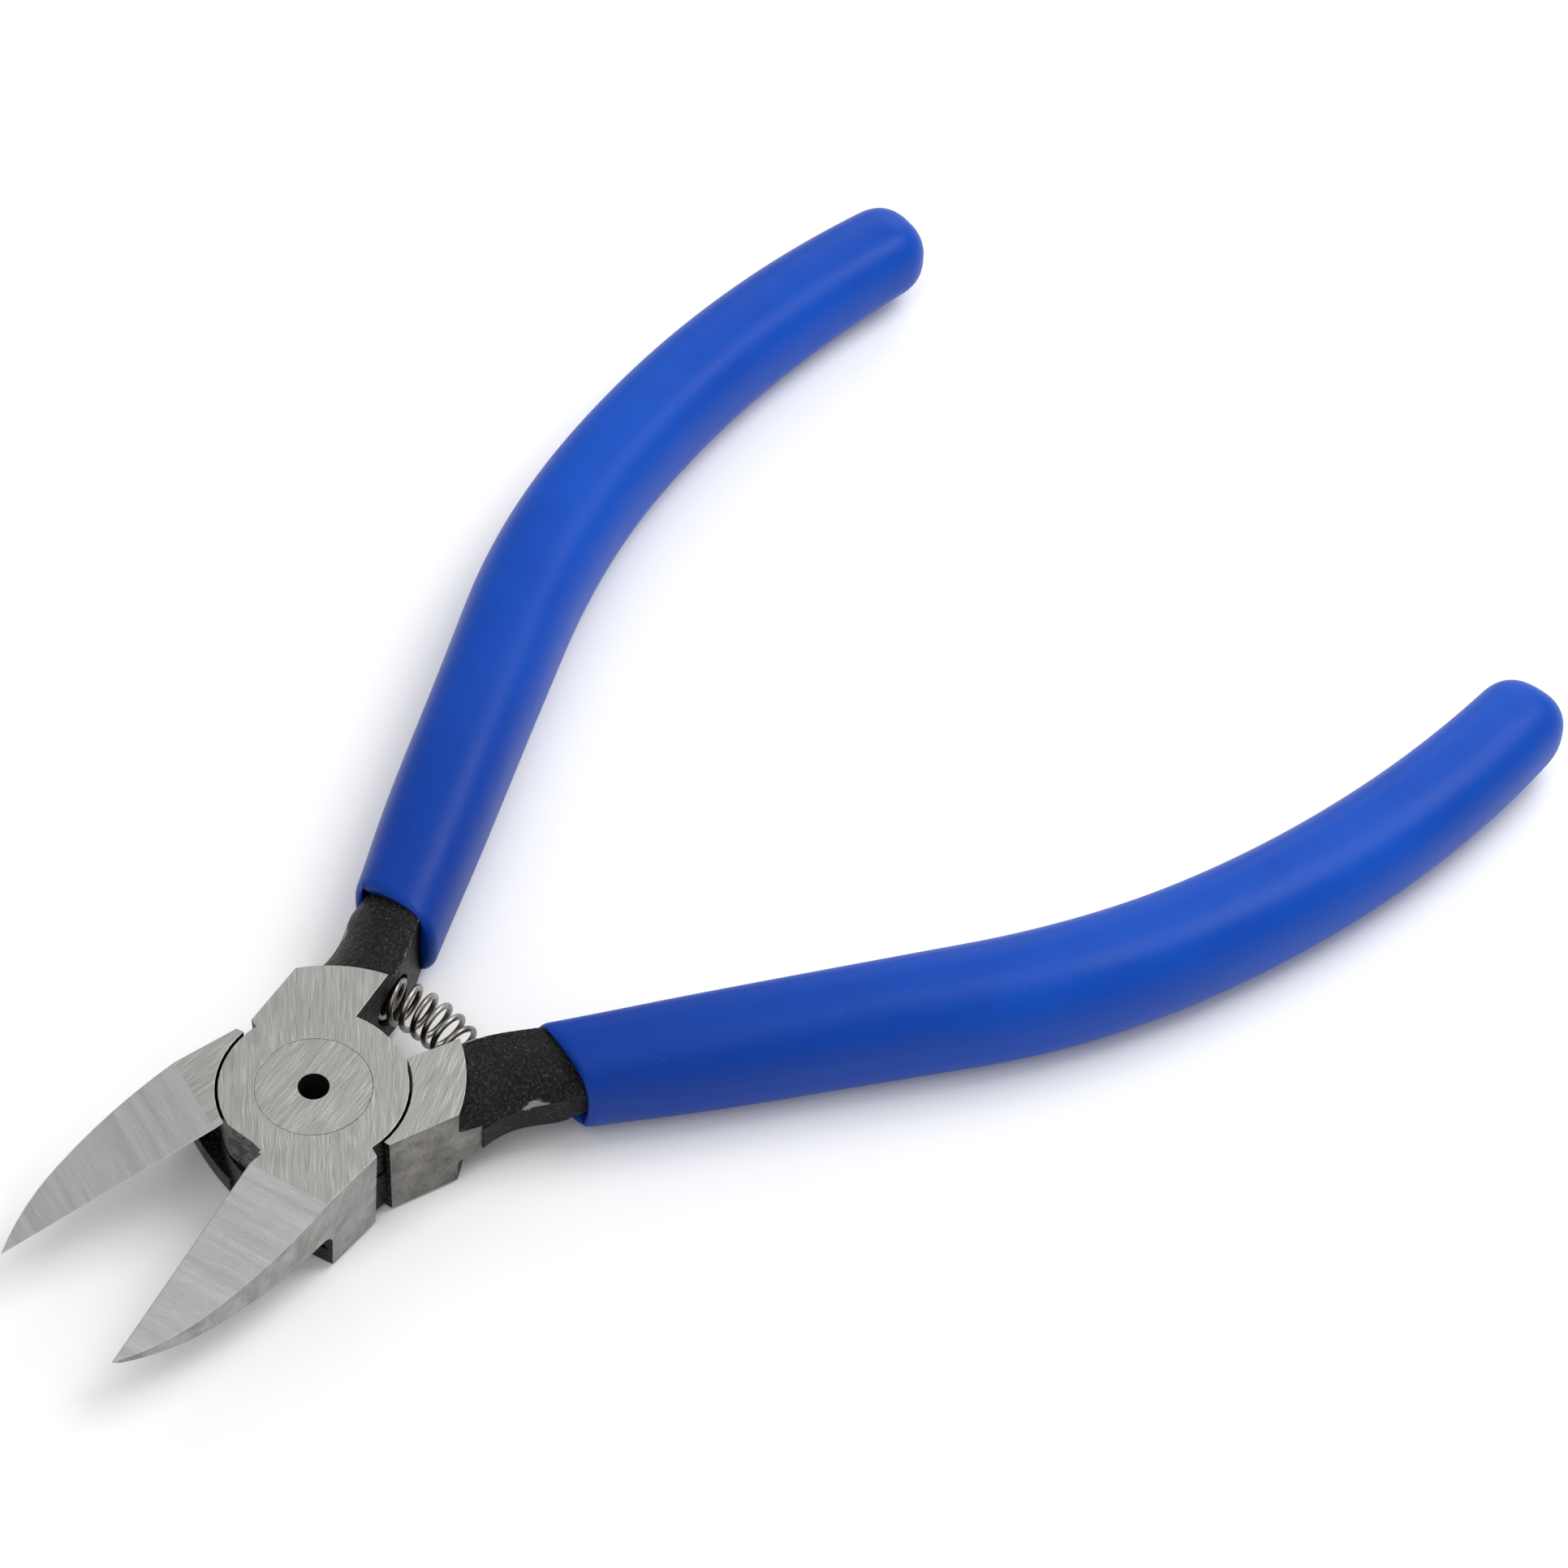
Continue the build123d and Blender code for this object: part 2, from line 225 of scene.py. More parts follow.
def make_grip(name, side):
    """Dipped vinyl sleeve: rolled lip at the mouth, round closed end, and an inside wall on the tang."""
    around, inside_rings, blend_rings, outside_rings, cap_rings = 72, 40, 15, 60, 13
    lip_along, lip_inward, lip_steps = 0.95, 0.62, 7
    lip_depth, lip_root = 0.35, 0.12
    ray_size = 3.4
    blend_to = 40.0
    angles = [2 * math.pi * i / around for i in range(around)]
    mouths = [mouth_distance(side, angle) for angle in angles]
    points = []

    def inside(distance, angle, clearance):
        """Point on the inside wall, which hugs the tang."""
        sizes = smooth_table(TANG_STATIONS, distance)
        shift = smooth_table(GRIP_STATIONS, distance)[0]
        across, up = oval(angle, ray_size, ray_size)
        u, v = tang_point((across + shift, up), sizes)
        length = math.hypot(u, v)
        origin, outward = handle_point(distance, side)
        return origin + (outward * u + Vector((0, 0, v))) * (1 + clearance / length)

    # Inside wall, from the tang's end to the mouth
    tang_end = TANG_STATIONS[-1][0]
    for share in np.linspace(1, 0, inside_rings):
        for angle, mouth in zip(angles, mouths):
            start = mouth + lip_depth
            distance = start + (tang_end - start) * share
            points.append(inside(distance, angle, 0.02))
    # Lip: from the neck out over the rounded rim
    for angle, mouth in zip(angles, mouths):
        points.append(inside(mouth + lip_root, angle, 0.05))
    for step in range(lip_steps + 1):
        turn = math.radians(90 * step / lip_steps)
        for angle, mouth in zip(angles, mouths):
            wall = (grip_section(mouth, side, angle) - inside(mouth, angle, 0.0)).length
            roll = min(lip_inward, wall * 0.8)
            along = lip_along * (1 - math.cos(turn))
            points.append(grip_section(mouth + along, side, angle, roll * (1 - math.sin(turn))))
    # Outside wall: the rings straighten from the tilted mouth to square sections
    for share in np.linspace(0, 1, blend_rings)[1:]:
        for angle, mouth in zip(angles, mouths):
            start = mouth + lip_along
            points.append(grip_section(start + (blend_to - start) * share, side, angle))
    cap_start = HANDLE_END - GRIP_CAP_LENGTH
    for distance in np.linspace(blend_to, cap_start, outside_rings)[1:]:
        points.extend(grip_section(distance, side, angle) for angle in angles)
    # Rounded end
    for step in range(1, cap_rings + 1):
        share = math.sin(math.radians(89 * step / cap_rings))
        scale = (1 - share**GRIP_SQUARENESS) ** (1 / GRIP_SQUARENESS)
        distance = cap_start + GRIP_CAP_LENGTH * share
        shift, half_width, half_height = smooth_table(GRIP_STATIONS, distance)
        origin, outward = handle_point(distance, side)
        for angle in angles:
            u, v = oval(angle, half_width * scale, half_height * scale)
            points.append(origin + outward * (u + shift) + Vector((0, 0, v)))
    return new_mesh_object(name, points, tube_faces(len(points) // around, around))


# ---------------------------------------------------------- return spring
def make_spring(name):
    """Coil spring with closed end coils, its middle line an arc about the pivot."""
    per_turn, around = 44, 16
    closed_pitch = 2 * SPRING_WIRE * 1.06
    closed_turns = 0.8
    phase = math.radians(SPRING_PHASE)
    half_length = SPRING_ARC * math.radians(SPRING_HALF_ANGLE) - SPRING_WIRE
    turns = 2 * half_length / SPRING_PITCH + closed_turns
    steps = int(turns * per_turn)
    turn_at = np.linspace(0, turns, steps + 1)
    share = np.clip(np.minimum(turn_at, turns - turn_at) / closed_turns, 0, 1)
    pitch = closed_pitch + (SPRING_PITCH - closed_pitch) * share * share * (3 - 2 * share)
    along = np.concatenate(([0.0], np.cumsum((pitch[1:] + pitch[:-1]) / 2 * np.diff(turn_at))))
    along = (along / along[-1] - 0.5) * 2 * half_length / SPRING_ARC

    def middle_line(angle):
        return Vector((-math.cos(angle), math.sin(angle), 0)) * SPRING_ARC

    centres = []
    for turn, angle in zip(turn_at, along):
        turned = 2 * math.pi * turn + phase
        out = Vector((-math.cos(angle), math.sin(angle), 0))
        coil = out * math.cos(turned) + Vector((0, 0, math.sin(turned)))
        centres.append(middle_line(angle) + coil * SPRING_MEAN)
    points = []
    for i, (centre, angle) in enumerate(zip(centres, along)):
        tangent = (centres[min(i + 1, steps)] - centres[max(i - 1, 0)]).normalized()
        side = tangent.cross(centre - middle_line(angle)).normalized()
        radial = side.cross(tangent)
        wire = SPRING_WIRE * (0.86 if i in (0, steps) else 1.0)
        for k in range(around):
            turn = 2 * math.pi * k / around
            points.append(centre + (radial * math.cos(turn) + side * math.sin(turn)) * wire)
    return new_mesh_object(name, points, tube_faces(steps + 1, around))


# ---------------------------------------------------------- node helpers
class Material:
    """A new node material with its Principled shader, and short ways to add nodes."""

    def __init__(self, name):
        self.data = bpy.data.materials.new(name)
        self.data.use_nodes = True
        self.tree = self.data.node_tree
        self.shader = self.tree.nodes["Principled BSDF"]

    def node(self, kind, **settings):
        made = self.tree.nodes.new(kind)
        for key, value in settings.items():
            setattr(made, key, value)
        return made

    def link(self, source, target):
        """Joins a socket, or sets a plain value."""
        if isinstance(source, bpy.types.NodeSocket):
            self.tree.links.new(source, target)
        else:
            target.default_value = source

    def math(self, operation, a, b=0.0, c=0.0, clamp=False):
        made = self.node("ShaderNodeMath", operation=operation, use_clamp=clamp)
        for socket, value in zip(made.inputs, (a, b, c)):
            self.link(value, socket)
        return made.outputs[0]

    def ramp(self, value, low, high, to_low=0.0, to_high=1.0, smooth=True):
        """value mapped from low..high to to_low..to_high, held at the ends."""
        made = self.node("ShaderNodeMapRange", interpolation_type="SMOOTHSTEP" if smooth else "LINEAR")
        for socket, given in zip(made.inputs, (value, low, high, to_low, to_high)):
            self.link(given, socket)
        return made.outputs[0]

    def dot(self, vector, direction):
        made = self.node("ShaderNodeVectorMath", operation="DOT_PRODUCT")
        self.link(vector, made.inputs[0])
        made.inputs[1].default_value = Vector(direction).normalized()
        return made.outputs["Value"]

    def mix(self, share, a, b):
        """Colour mix."""
        made = self.node("ShaderNodeMix", data_type="RGBA")
        self.link(share, made.inputs[0])
        self.link(a if isinstance(a, bpy.types.NodeSocket) else (*a, 1.0), made.inputs[6])
        self.link(b if isinstance(b, bpy.types.NodeSocket) else (*b, 1.0), made.inputs[7])
        return made.outputs[2]

    def blend(self, share, a, b):
        """Number mix."""
        made = self.node("ShaderNodeMix", data_type="FLOAT")
        for socket, value in zip((made.inputs[0], made.inputs[2], made.inputs[3]), (share, a, b)):
            self.link(value, socket)
        return made.outputs[0]

    def sum(self, *terms):
        """Weighted sum of (value, weight) pairs."""
        total = 0.0
        for value, weight in terms:
            total = self.math("MULTIPLY_ADD", value, weight, total)
        return total

    def either(self, *masks):
        total = masks[0]
        for mask in masks[1:]:
            total = self.math("MAXIMUM", total, mask)
        return total

    def both(self, *masks):
        total = masks[0]
        for mask in masks[1:]:
            total = self.math("MULTIPLY", total, mask)
        return total

    def position(self):
        """Object coordinates: the CAD frame at rest, in metres, and they ride with the piece."""
        return self.node("ShaderNodeTexCoord").outputs["Object"]

    def flat_normal(self):
        """The face normal in the object's own frame."""
        geometry = self.node("ShaderNodeNewGeometry")
        turned = self.node("ShaderNodeVectorTransform", vector_type="NORMAL")
        turned.convert_from, turned.convert_to = "WORLD", "OBJECT"
        self.link(geometry.outputs["True Normal"], turned.inputs[0])
        return turned.outputs[0]

    def noise(self, vector, size, detail=2.0, roughness=0.5, distortion=0.0, seed=0.0):
        """Noise with features about size mm across."""
        made = self.node("ShaderNodeTexNoise", noise_dimensions="4D")
        self.link(vector, made.inputs["Vector"])
        made.inputs["W"].default_value = seed
        made.inputs["Scale"].default_value = 1 / (size * MM)
        made.inputs["Detail"].default_value = detail
        made.inputs["Roughness"].default_value = roughness
        made.inputs["Distortion"].default_value = distortion
        return made.outputs["Fac"]

    def lines(self, vector, angle, width, length, detail=2.0, seed=0.0, tilt=(0.0, 0.0)):
        """Noise drawn out into parallel lines in the XY plane: width and length in mm, angle in degrees."""
        mapping = self.node("ShaderNodeMapping", vector_type="TEXTURE")
        self.link(vector, mapping.inputs["Vector"])
        mapping.inputs["Rotation"].default_value = [math.radians(turn) for turn in (*tilt, angle)]
        mapping.inputs["Scale"].default_value = (length * MM, width * MM, width * MM)
        made = self.node("ShaderNodeTexNoise", noise_dimensions="4D")
        self.link(mapping.outputs[0], made.inputs["Vector"])
        made.inputs["W"].default_value = seed
        made.inputs["Scale"].default_value = 1.0
        made.inputs["Detail"].default_value = detail
        made.inputs["Roughness"].default_value = 0.6
        return made.outputs["Fac"]

    def bump(self, height, distance, strength=1.0, normal=None):
        """distance in mm for a height of 1."""
        made = self.node("ShaderNodeBump")
        made.inputs["Strength"].default_value = strength
        made.inputs["Distance"].default_value = distance * MM
        self.link(height, made.inputs["Height"])
        if normal is not None:
            self.link(normal, made.inputs["Normal"])
        return made.outputs[0]


# ---------------------------------------------------------- materials
JAW_SHOULDER = (7.72, 10.87)
CREASE_INNER = (9.9, 2.52)
JAW_TIP = (31.15, 7.92, 0.33)
BLOCK_FRONT = (-0.76, -9.76)
BLOCK_REAR = (-7.78, -11.56)
INNER_RIDGE = 4.2
OUTER_RIDGE = 1.5
SCUFF_REACH = 20.8


def blade_normal(side):
    """Normal of the blade's sloping top, through the crease and the tip."""
    inner = Vector((CREASE_INNER[0], side * CREASE_INNER[1], HEAD_HALF))
    outer = Vector((JAW_SHOULDER[0], side * JAW_SHOULDER[1], HEAD_HALF))
    tip = Vector((JAW_TIP[0], side * JAW_TIP[1], JAW_TIP[2]))
    normal = (outer - inner).cross(tip - inner).normalized()
    return normal if normal.z > 0 else -normal


PLATE_DARK, PLATE_LIGHT = (0.3, 0.295, 0.28), (0.52, 0.52, 0.5)
BLADE_DARK, BLADE_LIGHT = (0.39, 0.4, 0.395), (0.57, 0.585, 0.575)
JAW_WALL_DARK, JAW_WALL_LIGHT = (0.17, 0.16, 0.15), (0.43, 0.425, 0.415)
BLOCK_WALL_DARK, BLOCK_WALL_LIGHT = (0.07, 0.065, 0.06), (0.29, 0.28, 0.26)
THROAT_DARK, THROAT_BROWN = (0.03, 0.029, 0.028), (0.15, 0.143, 0.135)
WIRE_DARK, WIRE_LIGHT = (0.2, 0.18, 0.155), (0.4, 0.38, 0.35)
OXIDE_DARK, OXIDE_GREY = (0.002, 0.002, 0.0022), (0.006, 0.006, 0.0064)
# Painted highlight on the oxide's raised bumps, painted glints for its light specks, and bare steel where it
# is worn
OXIDE_PAINTED_BUMP_LIGHT, OXIDE_PAINTED_GLINT, BARE_STEEL = (0.035, 0.035, 0.034), (0.17, 0.168, 0.16), (0.3, 0.29, 0.28)
# The third vinyl colour is painted shade for the head end of the grips
VINYL_DARK, VINYL_LIGHT, VINYL_PAINTED_SHADE = (0.0005, 0.052, 0.37), (0.0008, 0.062, 0.42), (0.0003, 0.034, 0.27)


def grinding(m, place, angle, seed):
    """Tone of a ground face: fine parallel lines, with a few bright and dark scratches slightly askew."""
    fine = m.lines(place, angle, 0.06, 3.5, detail=1.0, seed=seed)
    medium = m.lines(place, angle + 2.5, 0.13, 5.0, detail=1.0, seed=seed + 1)
    broad = m.lines(place, angle - 2.0, 0.9, 7.0, detail=1.0, seed=seed + 2)
    bright = m.ramp(m.lines(place, angle + 9, 0.07, 4.0, detail=0.0, seed=seed + 3), 0.66, 0.76)
    dark = m.ramp(m.lines(place, angle - 7, 0.06, 3.0, detail=0.0, seed=seed + 4), 0.68, 0.78)
    tone = m.sum((fine, 0.55), (medium, 0.3), (broad, 0.15))
    return m.sum((tone, 1.0), (bright, 0.32), (dark, -0.32))


def lever_material(name, side, plate_angle, jaw_angle):
    """Ground steel on the head's faces and blade, black oxide elsewhere."""
    m = Material(name)
    place = m.position()
    parts = m.node("ShaderNodeSeparateXYZ")
    m.link(place, parts.inputs[0])
    x, y, z = parts.outputs
    normal = m.flat_normal()
    up = m.dot(normal, (0, 0, 1))
    out = m.dot(normal, (0, side, 0))

    def above(value, limit, soft=0.02):
        """Mask of value > limit mm."""
        return m.ramp(value, (limit - soft) * MM, (limit + soft) * MM)

    def faces(value, limit):
        return m.math("GREATER_THAN", value, limit)

    height = m.math("ABSOLUTE", z)
    plate = m.both(above(height, HEAD_HALF - 0.1), faces(m.math("ABSOLUTE", up), 0.9))
    blade = m.both(faces(m.dot(normal, blade_normal(side)), 0.998), above(x, 4.0), above(z, 0.0))
    jaw_side = m.both(faces(out, 0.6), above(x, 0.6), above(m.math("MULTIPLY", y, float(side)), 7.0))
    run = Vector((BLOCK_REAR[0] - BLOCK_FRONT[0], side * (BLOCK_REAR[1] - BLOCK_FRONT[1]), 0))
    wall = run.normalized().cross(Vector((0, 0, -side)))
    block_side = m.both(faces(m.dot(normal, wall), 0.998), m.math("LESS_THAN", x, 0.0), above(x, -10.4))
    facing_jaw = faces(m.math("MULTIPLY", out, -1.0), 0.3)
    bevel = m.both(facing_jaw, above(x, 7.6), above(z, -1.0), m.math("LESS_THAN", up, -0.2))
    under = m.both(m.math("LESS_THAN", up, -0.7), above(x, 9.3), above(z, -2.0))
    ground = m.either(plate, blade, jaw_side, block_side, bevel, under)

    # Grinding lines: one direction on the plates, another across the blade, upright on the side walls
    plate_tone = m.blend(
        above(x, 1.0, 0.5),
        grinding(m, place, plate_angle, 1.0 + side),
        grinding(m, place, jaw_angle, 6.0 + side),
    )
    crease = Vector((JAW_SHOULDER[0] - CREASE_INNER[0], side * (JAW_SHOULDER[1] - CREASE_INNER[1])))
    crease_angle = math.degrees(math.atan2(crease.y, crease.x))
    blade_fine = grinding(m, place, crease_angle, 11.0 + side)
    blade_bands = m.lines(place, crease_angle, 1.1, 30.0, detail=1.0, seed=16.0 + side)
    blade_tone = m.sum((blade_fine, 0.5), (blade_bands, 0.5))
    wall_fine = m.lines(place, 0.0, 0.07, 3.0, detail=1.0, seed=18.0 + side, tilt=(12, 62))
    wall_blotch = m.noise(place, 2.2, 3.0, 0.5, 0.3, seed=20.0 + side)
    wall_tone = m.sum((wall_fine, 0.45), (wall_blotch, 0.55))

    plate_colour = m.mix(m.ramp(plate_tone, 0.25, 0.75), PLATE_DARK, PLATE_LIGHT)
    blade_colour = m.mix(m.ramp(blade_tone, 0.25, 0.75), BLADE_DARK, BLADE_LIGHT)
    jaw_wall = m.mix(m.ramp(wall_tone, 0.25, 0.75), JAW_WALL_DARK, JAW_WALL_LIGHT)
    block_wall = m.mix(m.ramp(wall_tone, 0.25, 0.75), BLOCK_WALL_DARK, BLOCK_WALL_LIGHT)
    steel_colour = m.mix(m.either(blade, bevel), plate_colour, blade_colour)
    steel_colour = m.mix(m.either(jaw_side, under), steel_colour, jaw_wall)
    steel_colour = m.mix(block_side, steel_colour, block_wall)

    # Black oxide: rough forged skin with fine light specks; the raised bumps are painted lighter as a
    # painted highlight, and the specks are painted glints
    skin = m.noise(place, 0.32, 4.0, 0.6, seed=30.0 + side)
    lumps = m.noise(place, 1.1, 3.0, 0.6, seed=32.0 + side)
    cloud = m.noise(place, 4.0, 3.0, 0.55, seed=34.0 + side)
    specks = m.ramp(m.noise(place, 0.2, 2.0, 0.6, seed=36.0 + side), 0.64, 0.72)
    oxide_colour = m.mix(cloud, OXIDE_DARK, OXIDE_GREY)
    # Painted highlight: the raised bumps of the forged skin are lighter
    oxide_colour = m.mix(m.ramp(skin, 0.48, 0.7), oxide_colour, OXIDE_PAINTED_BUMP_LIGHT)
    # Painted glints: fine light specks over the forged skin
    oxide_colour = m.mix(m.math("MULTIPLY", specks, 0.8), oxide_colour, OXIDE_PAINTED_GLINT)

    # Ridges of the neck, scuffed to bare metal in places
    soft_edge = m.node("ShaderNodeBevel", samples=6)
    soft_edge.inputs["Radius"].default_value = 0.3 * MM
    turned = m.node("ShaderNodeVectorMath", operation="DOT_PRODUCT")
    m.link(soft_edge.outputs[0], turned.inputs[0])
    m.link(m.node("ShaderNodeNewGeometry").outputs["True Normal"], turned.inputs[1])
    edge = m.ramp(turned.outputs["Value"], 0.99, 0.93)
    reach = m.node("ShaderNodeVectorMath", operation="LENGTH")
    m.link(place, reach.inputs[0])
    ragged = m.math("SUBTRACT", m.noise(place, 0.7, 4.0, 0.7, seed=38.0 + side), 0.5)
    off_centre = m.math("ABSOLUTE", m.math("SUBTRACT", reach.outputs["Value"], SCUFF_REACH * MM))
    off_ridge = m.math("ABSOLUTE", m.math("SUBTRACT", z, OUTER_RIDGE * MM))
    spread = m.sum((off_centre, 1 / (1.7 * MM)), (off_ridge, 1 / (0.7 * MM)), (ragged, 2.0))
    scuff = m.both(m.ramp(spread, 1.0, 0.75), faces(m.math("ABSOLUTE", up), 0.02))
    inner_ridge = m.ramp(m.math("ABSOLUTE", m.math("SUBTRACT", z, INNER_RIDGE * MM)), 0.3 * MM, 0.15 * MM)
    rubbed = m.both(edge, inner_ridge, m.ramp(m.noise(place, 0.35, 3.0, 0.7, seed=39.0 + side), 0.5, 0.62))
    wear = m.both(m.either(scuff, rubbed), m.math("LESS_THAN", x, -13.2 * MM))
    oxide_colour = m.mix(m.math("MULTIPLY", wear, 0.75), oxide_colour, BARE_STEEL)

    # Throat: the upper disc's flat is bare and brown, the lower disc's wall is glossy black
    throat = m.both(above(x, 6.5), m.math("LESS_THAN", ground, 0.5))
    flat = m.both(throat, faces(m.dot(normal, (1, 0, 0)), 0.9), above(z, 0.1))
    flat_tone = m.noise(place, 1.2, 3.0, 0.6, 0.6, seed=40.0 + side)
    flat_colour = m.mix(m.ramp(flat_tone, 0.35, 0.65), THROAT_DARK, THROAT_BROWN)
    oxide_colour = m.mix(flat, oxide_colour, flat_colour)

    colour = m.mix(ground, oxide_colour, steel_colour)
    m.link(colour, m.shader.inputs["Base Color"])
    metal = m.either(ground, m.math("MULTIPLY", wear, 0.8), m.math("MULTIPLY", flat, 0.5))
    m.link(metal, m.shader.inputs["Metallic"])
    steel_rough = m.ramp(plate_tone, 0.25, 0.75, 0.32, 0.46)
    oxide_rough = m.ramp(skin, 0.3, 0.7, 0.28, 0.5)
    oxide_rough = m.blend(throat, oxide_rough, 0.24)
    m.link(m.blend(ground, oxide_rough, steel_rough), m.shader.inputs["Roughness"])
    m.shader.inputs["Specular IOR Level"].default_value = 0.12

    forged = m.math("MULTIPLY", m.sum((skin, 0.2), (lumps, 0.4)), m.blend(throat, 1.0, 0.25))
    plate_relief = m.math("MULTIPLY", plate_tone, 0.012)
    blade_relief = m.math("MULTIPLY", blade_fine, 0.007)
    ground_relief = m.blend(m.either(blade, bevel), plate_relief, blade_relief)
    height_map = m.blend(ground, forged, ground_relief)
    rounded = m.node("ShaderNodeBevel", samples=6)
    rounded.inputs["Radius"].default_value = 0.1 * MM
    m.link(m.bump(height_map, 1.0, normal=rounded.outputs[0]), m.shader.inputs["Normal"])
    return m.data


def rivet_material(name):
    """Flush-ground rivet: fine parallel lines on its faces, dark bore."""
    m = Material(name)
    place = m.position()
    tone = grinding(m, place, 10, 50.0)
    faces = m.math("GREATER_THAN", m.math("ABSOLUTE", m.dot(m.flat_normal(), (0, 0, 1))), 0.9)
    colour = m.mix(m.ramp(tone, 0.25, 0.75), PLATE_DARK, PLATE_LIGHT)
    m.link(m.mix(faces, (0.012, 0.012, 0.012), colour), m.shader.inputs["Base Color"])
    m.link(m.blend(faces, 0.2, 1.0), m.shader.inputs["Metallic"])
    m.link(m.ramp(tone, 0.25, 0.75, 0.33, 0.48), m.shader.inputs["Roughness"])
    m.link(m.bump(m.math("MULTIPLY", tone, 0.012), 1.0), m.shader.inputs["Normal"])
    return m.data


def spring_material(name):
    """Drawn stainless wire with a warm tint."""
    m = Material(name)
    place = m.position()
    tint = m.noise(place, 2.2, 3.0, 0.6, seed=41.0)
    m.link(m.mix(m.ramp(tint, 0.35, 0.65), WIRE_DARK, WIRE_LIGHT), m.shader.inputs["Base Color"])
    m.shader.inputs["Metallic"].default_value = 1.0
    m.link(m.ramp(tint, 0.3, 0.7, 0.26, 0.36), m.shader.inputs["Roughness"])
    return m.data


def vinyl_material(name, seed):
    """Blue dipped vinyl: satin skin with a faint orange peel, soft scuffs, dust specks, and painted shade
    towards the head end.
    """
    m = Material(name)
    place = m.position()
    cloud = m.noise(place, 14.0, 3.0, 0.5, seed=seed)
    peel = m.noise(place, 0.55, 2.0, 0.5, seed=seed + 2)
    wave = m.noise(place, 7.0, 2.0, 0.5, seed=seed + 4)
    scuff = m.ramp(m.lines(place, 150, 0.3, 3.5, detail=3.0, seed=seed + 6), 0.62, 0.8)
    specks = m.ramp(m.noise(place, 0.3, 1.0, 0.5, seed=seed + 8), 0.77, 0.8)
    colour = m.mix(m.ramp(cloud, 0.35, 0.65), VINYL_DARK, VINYL_LIGHT)
    # Painted shade: the grips darken towards the head end
    colour = m.mix(m.ramp(m.dot(place, (1, 0, 0)), -70 * MM, -18 * MM), colour, VINYL_PAINTED_SHADE)
    colour = m.mix(m.math("MULTIPLY", specks, 0.25), colour, (0.12, 0.2, 0.55))
    m.link(colour, m.shader.inputs["Base Color"])
    rough = m.ramp(cloud, 0.3, 0.7, 0.36, 0.44)
    m.link(m.math("ADD", rough, m.math("MULTIPLY", scuff, 0.1)), m.shader.inputs["Roughness"])
    m.shader.inputs["Specular IOR Level"].default_value = 0.15
    height = m.math("ADD", m.math("MULTIPLY", peel, 0.006), m.math("MULTIPLY", wave, 0.12))
    m.link(m.bump(height, 1.0), m.shader.inputs["Normal"])
    return m.data


def floor_material(name):
    m = Material(name)
    grain = m.noise(m.position(), 6.0, 2.0, 0.5, seed=51.0)
    m.link(m.mix(grain, (0.9, 0.9, 0.9), (0.92, 0.92, 0.92)), m.shader.inputs["Base Color"])
    m.shader.inputs["Roughness"].default_value = 0.8
    m.shader.inputs["Specular IOR Level"].default_value = 0.1
    return m.data


def give(obj, material):
    obj.data.materials.clear()
    obj.data.materials.append(material)


# ---------------------------------------------------------- the object
for half, side in SIDES.items():
    body = f"{half}_half"
    plate_angle, jaw_angle = (46, 46) if side > 0 else (23, -5)
    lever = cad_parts[f"{half}_lever"]
    give(lever, lever_material(f"{half}_lever_steel", side, plate_angle, jaw_angle))
    grip = make_grip(f"{half}_grip_vinyl", side)
    give(grip, vinyl_material(f"{half}_vinyl", 60.0 + 10 * side))
    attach(grip, body)
    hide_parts(f"{half}_grip")

give(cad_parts["pivot_rivet"], rivet_material("rivet_ground_steel"))

spring = make_spring("return_spring_wire")
give(spring, spring_material("spring_wire_steel"))
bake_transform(spring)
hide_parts("return_spring")


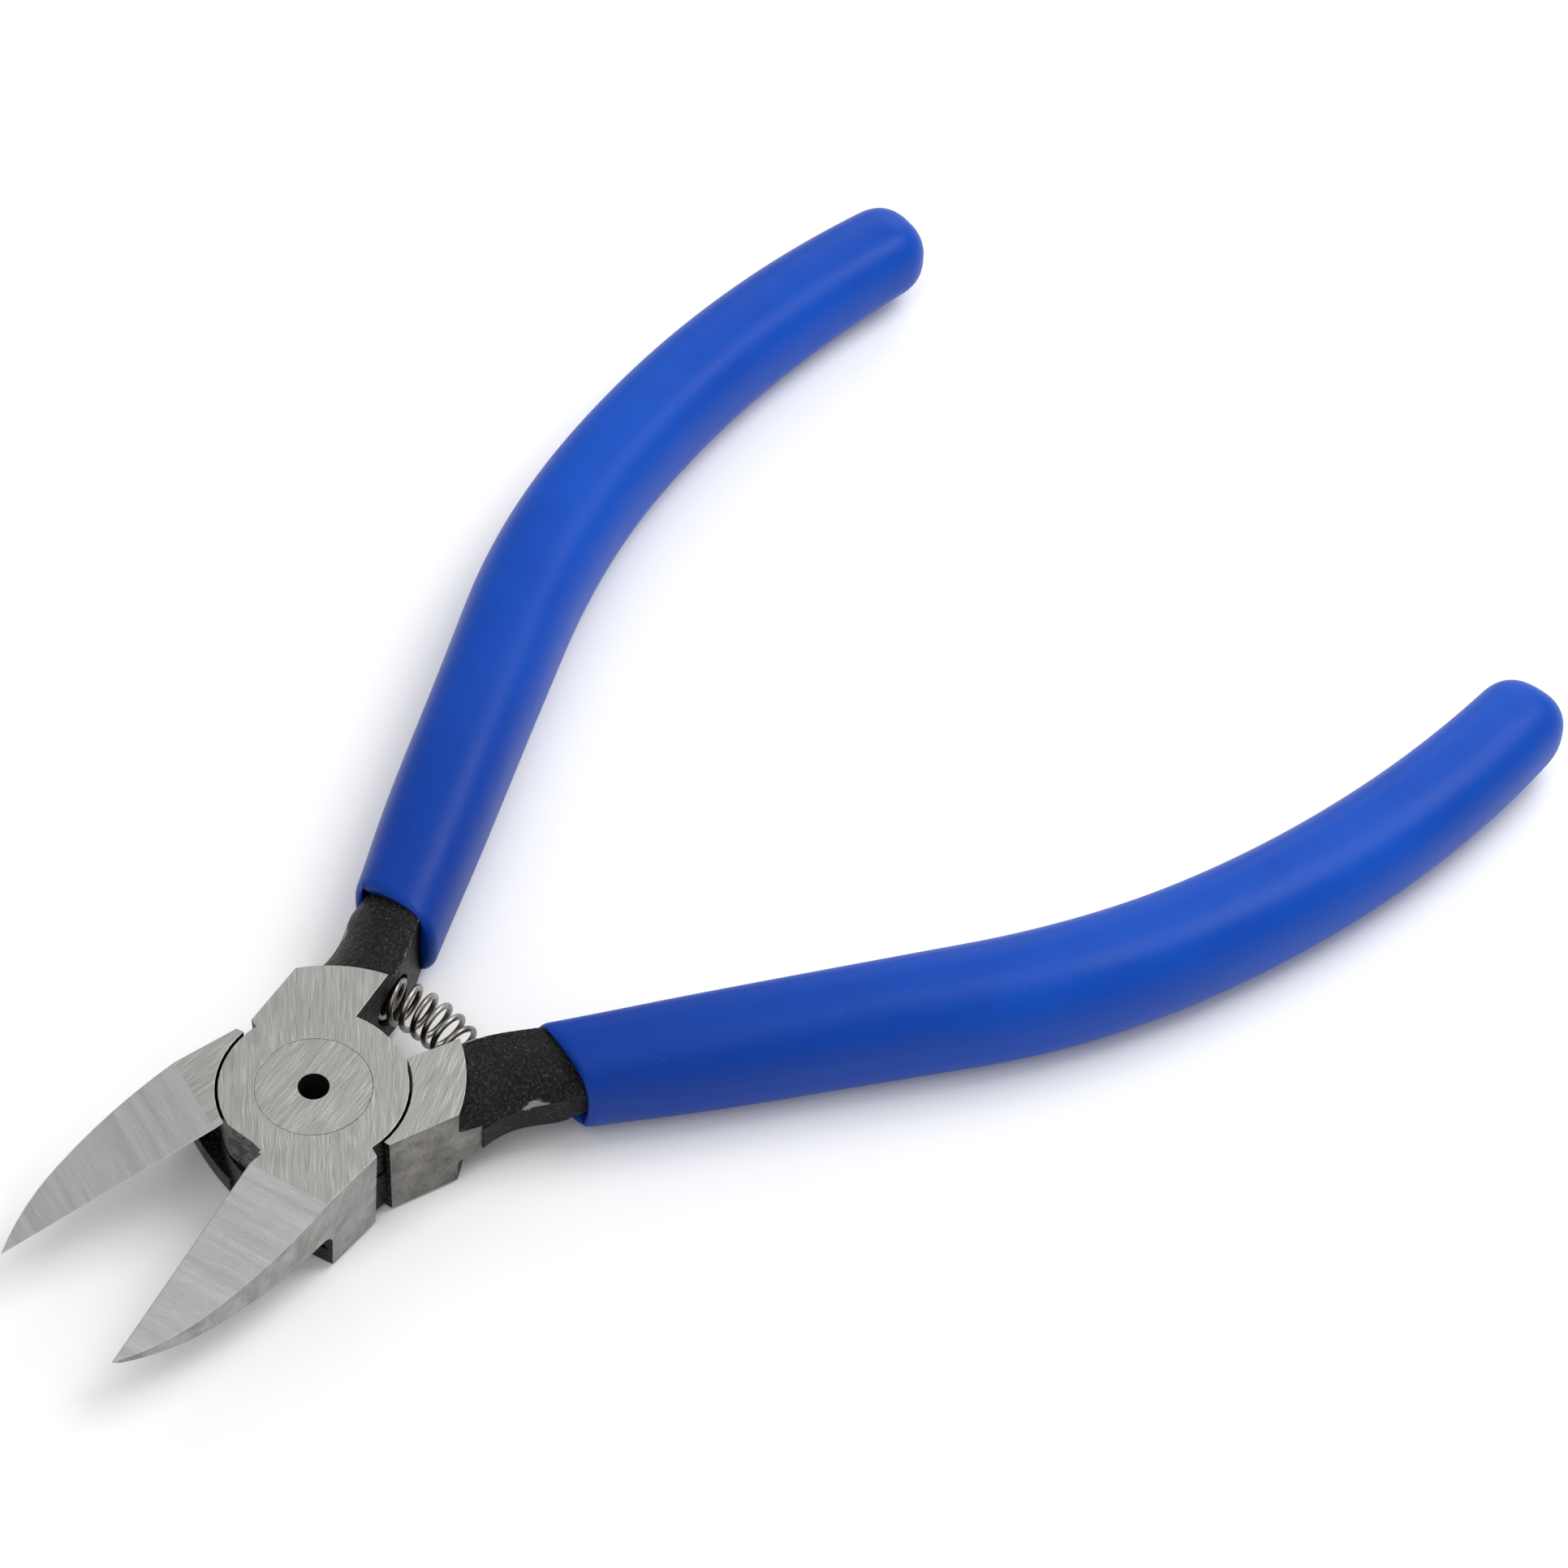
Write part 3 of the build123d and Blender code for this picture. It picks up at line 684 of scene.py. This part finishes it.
# ---------------------------------------------------------- stage
LIGHT_AIM = (-0.045, 0, 0)
SOFTBOXES = (  # name, place, size, power
    ("softbox_top", (0.25, 0.1, 0.6), (0.4, 0.4), 0.8),
    ("softbox_rear", (-0.27, 0.08, 0.36), (0.25, 0.25), 1.0),
    ("softbox_back", (-0.6, -0.35, 0.3), (0.4, 0.3), 0.7),
)
WORLD_STRENGTH = 0.66


def make_floor():
    size = 6.0
    mesh = bpy.data.meshes.new("floor")
    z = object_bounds()[0].z - 0.01 * MM
    corners = [(-size, -size, z), (size, -size, z), (size, size, z), (-size, size, z)]
    mesh.from_pydata(corners, [], [(0, 1, 2, 3)])
    floor = bpy.data.objects.new("floor", mesh)
    scene.collection.objects.link(floor)
    give(floor, floor_material("floor_pale"))


def area_light(name, place, size, power):
    """Rectangular softbox that faces the middle of the tool."""
    data = bpy.data.lights.new(name, "AREA")
    data.shape = "RECTANGLE"
    data.size, data.size_y = size
    data.energy = power
    light = bpy.data.objects.new(name, data)
    light.location = place
    light.rotation_mode = "QUATERNION"
    light.rotation_quaternion = (Vector(LIGHT_AIM) - Vector(place)).to_track_quat("-Z", "Y")
    scene.collection.objects.link(light)


def make_camera():
    """Camera beside the jaws, looking down on the tool; the pivot stands left of and below the middle."""
    azimuth, elevation, roll = (math.radians(angle) for angle in (132.94, 50.88, 3.56))
    distance, pivot_left, pivot_below = 0.47289, 0.04378, 0.02815
    level = math.cos(elevation)
    back = Vector((math.sin(azimuth) * level, -math.cos(azimuth) * level, math.sin(elevation)))
    turn = (-back).to_track_quat("-Z", "Y") @ Quaternion((0, 0, 1), roll)
    pivot = Vector((0, 0, HEAD_HALF * MM))
    data = bpy.data.cameras.new("camera")
    data.lens = 116.65
    data.sensor_width = 36.0
    camera = bpy.data.objects.new("camera", data)
    camera.rotation_mode = "QUATERNION"
    camera.rotation_quaternion = turn
    camera.location = pivot + turn @ Vector((pivot_left, pivot_below, distance))
    scene.collection.objects.link(camera)
    scene.camera = camera


def make_world():
    world = bpy.data.worlds.new("studio")
    world.use_nodes = True
    world.node_tree.nodes["Background"].inputs["Color"].default_value = (1, 1, 1, 1)
    world.node_tree.nodes["Background"].inputs["Strength"].default_value = WORLD_STRENGTH
    scene.world = world
    scene.view_settings.view_transform = "Standard"


make_floor()
make_world()
for softbox in SOFTBOXES:
    area_light(*softbox)
make_camera()
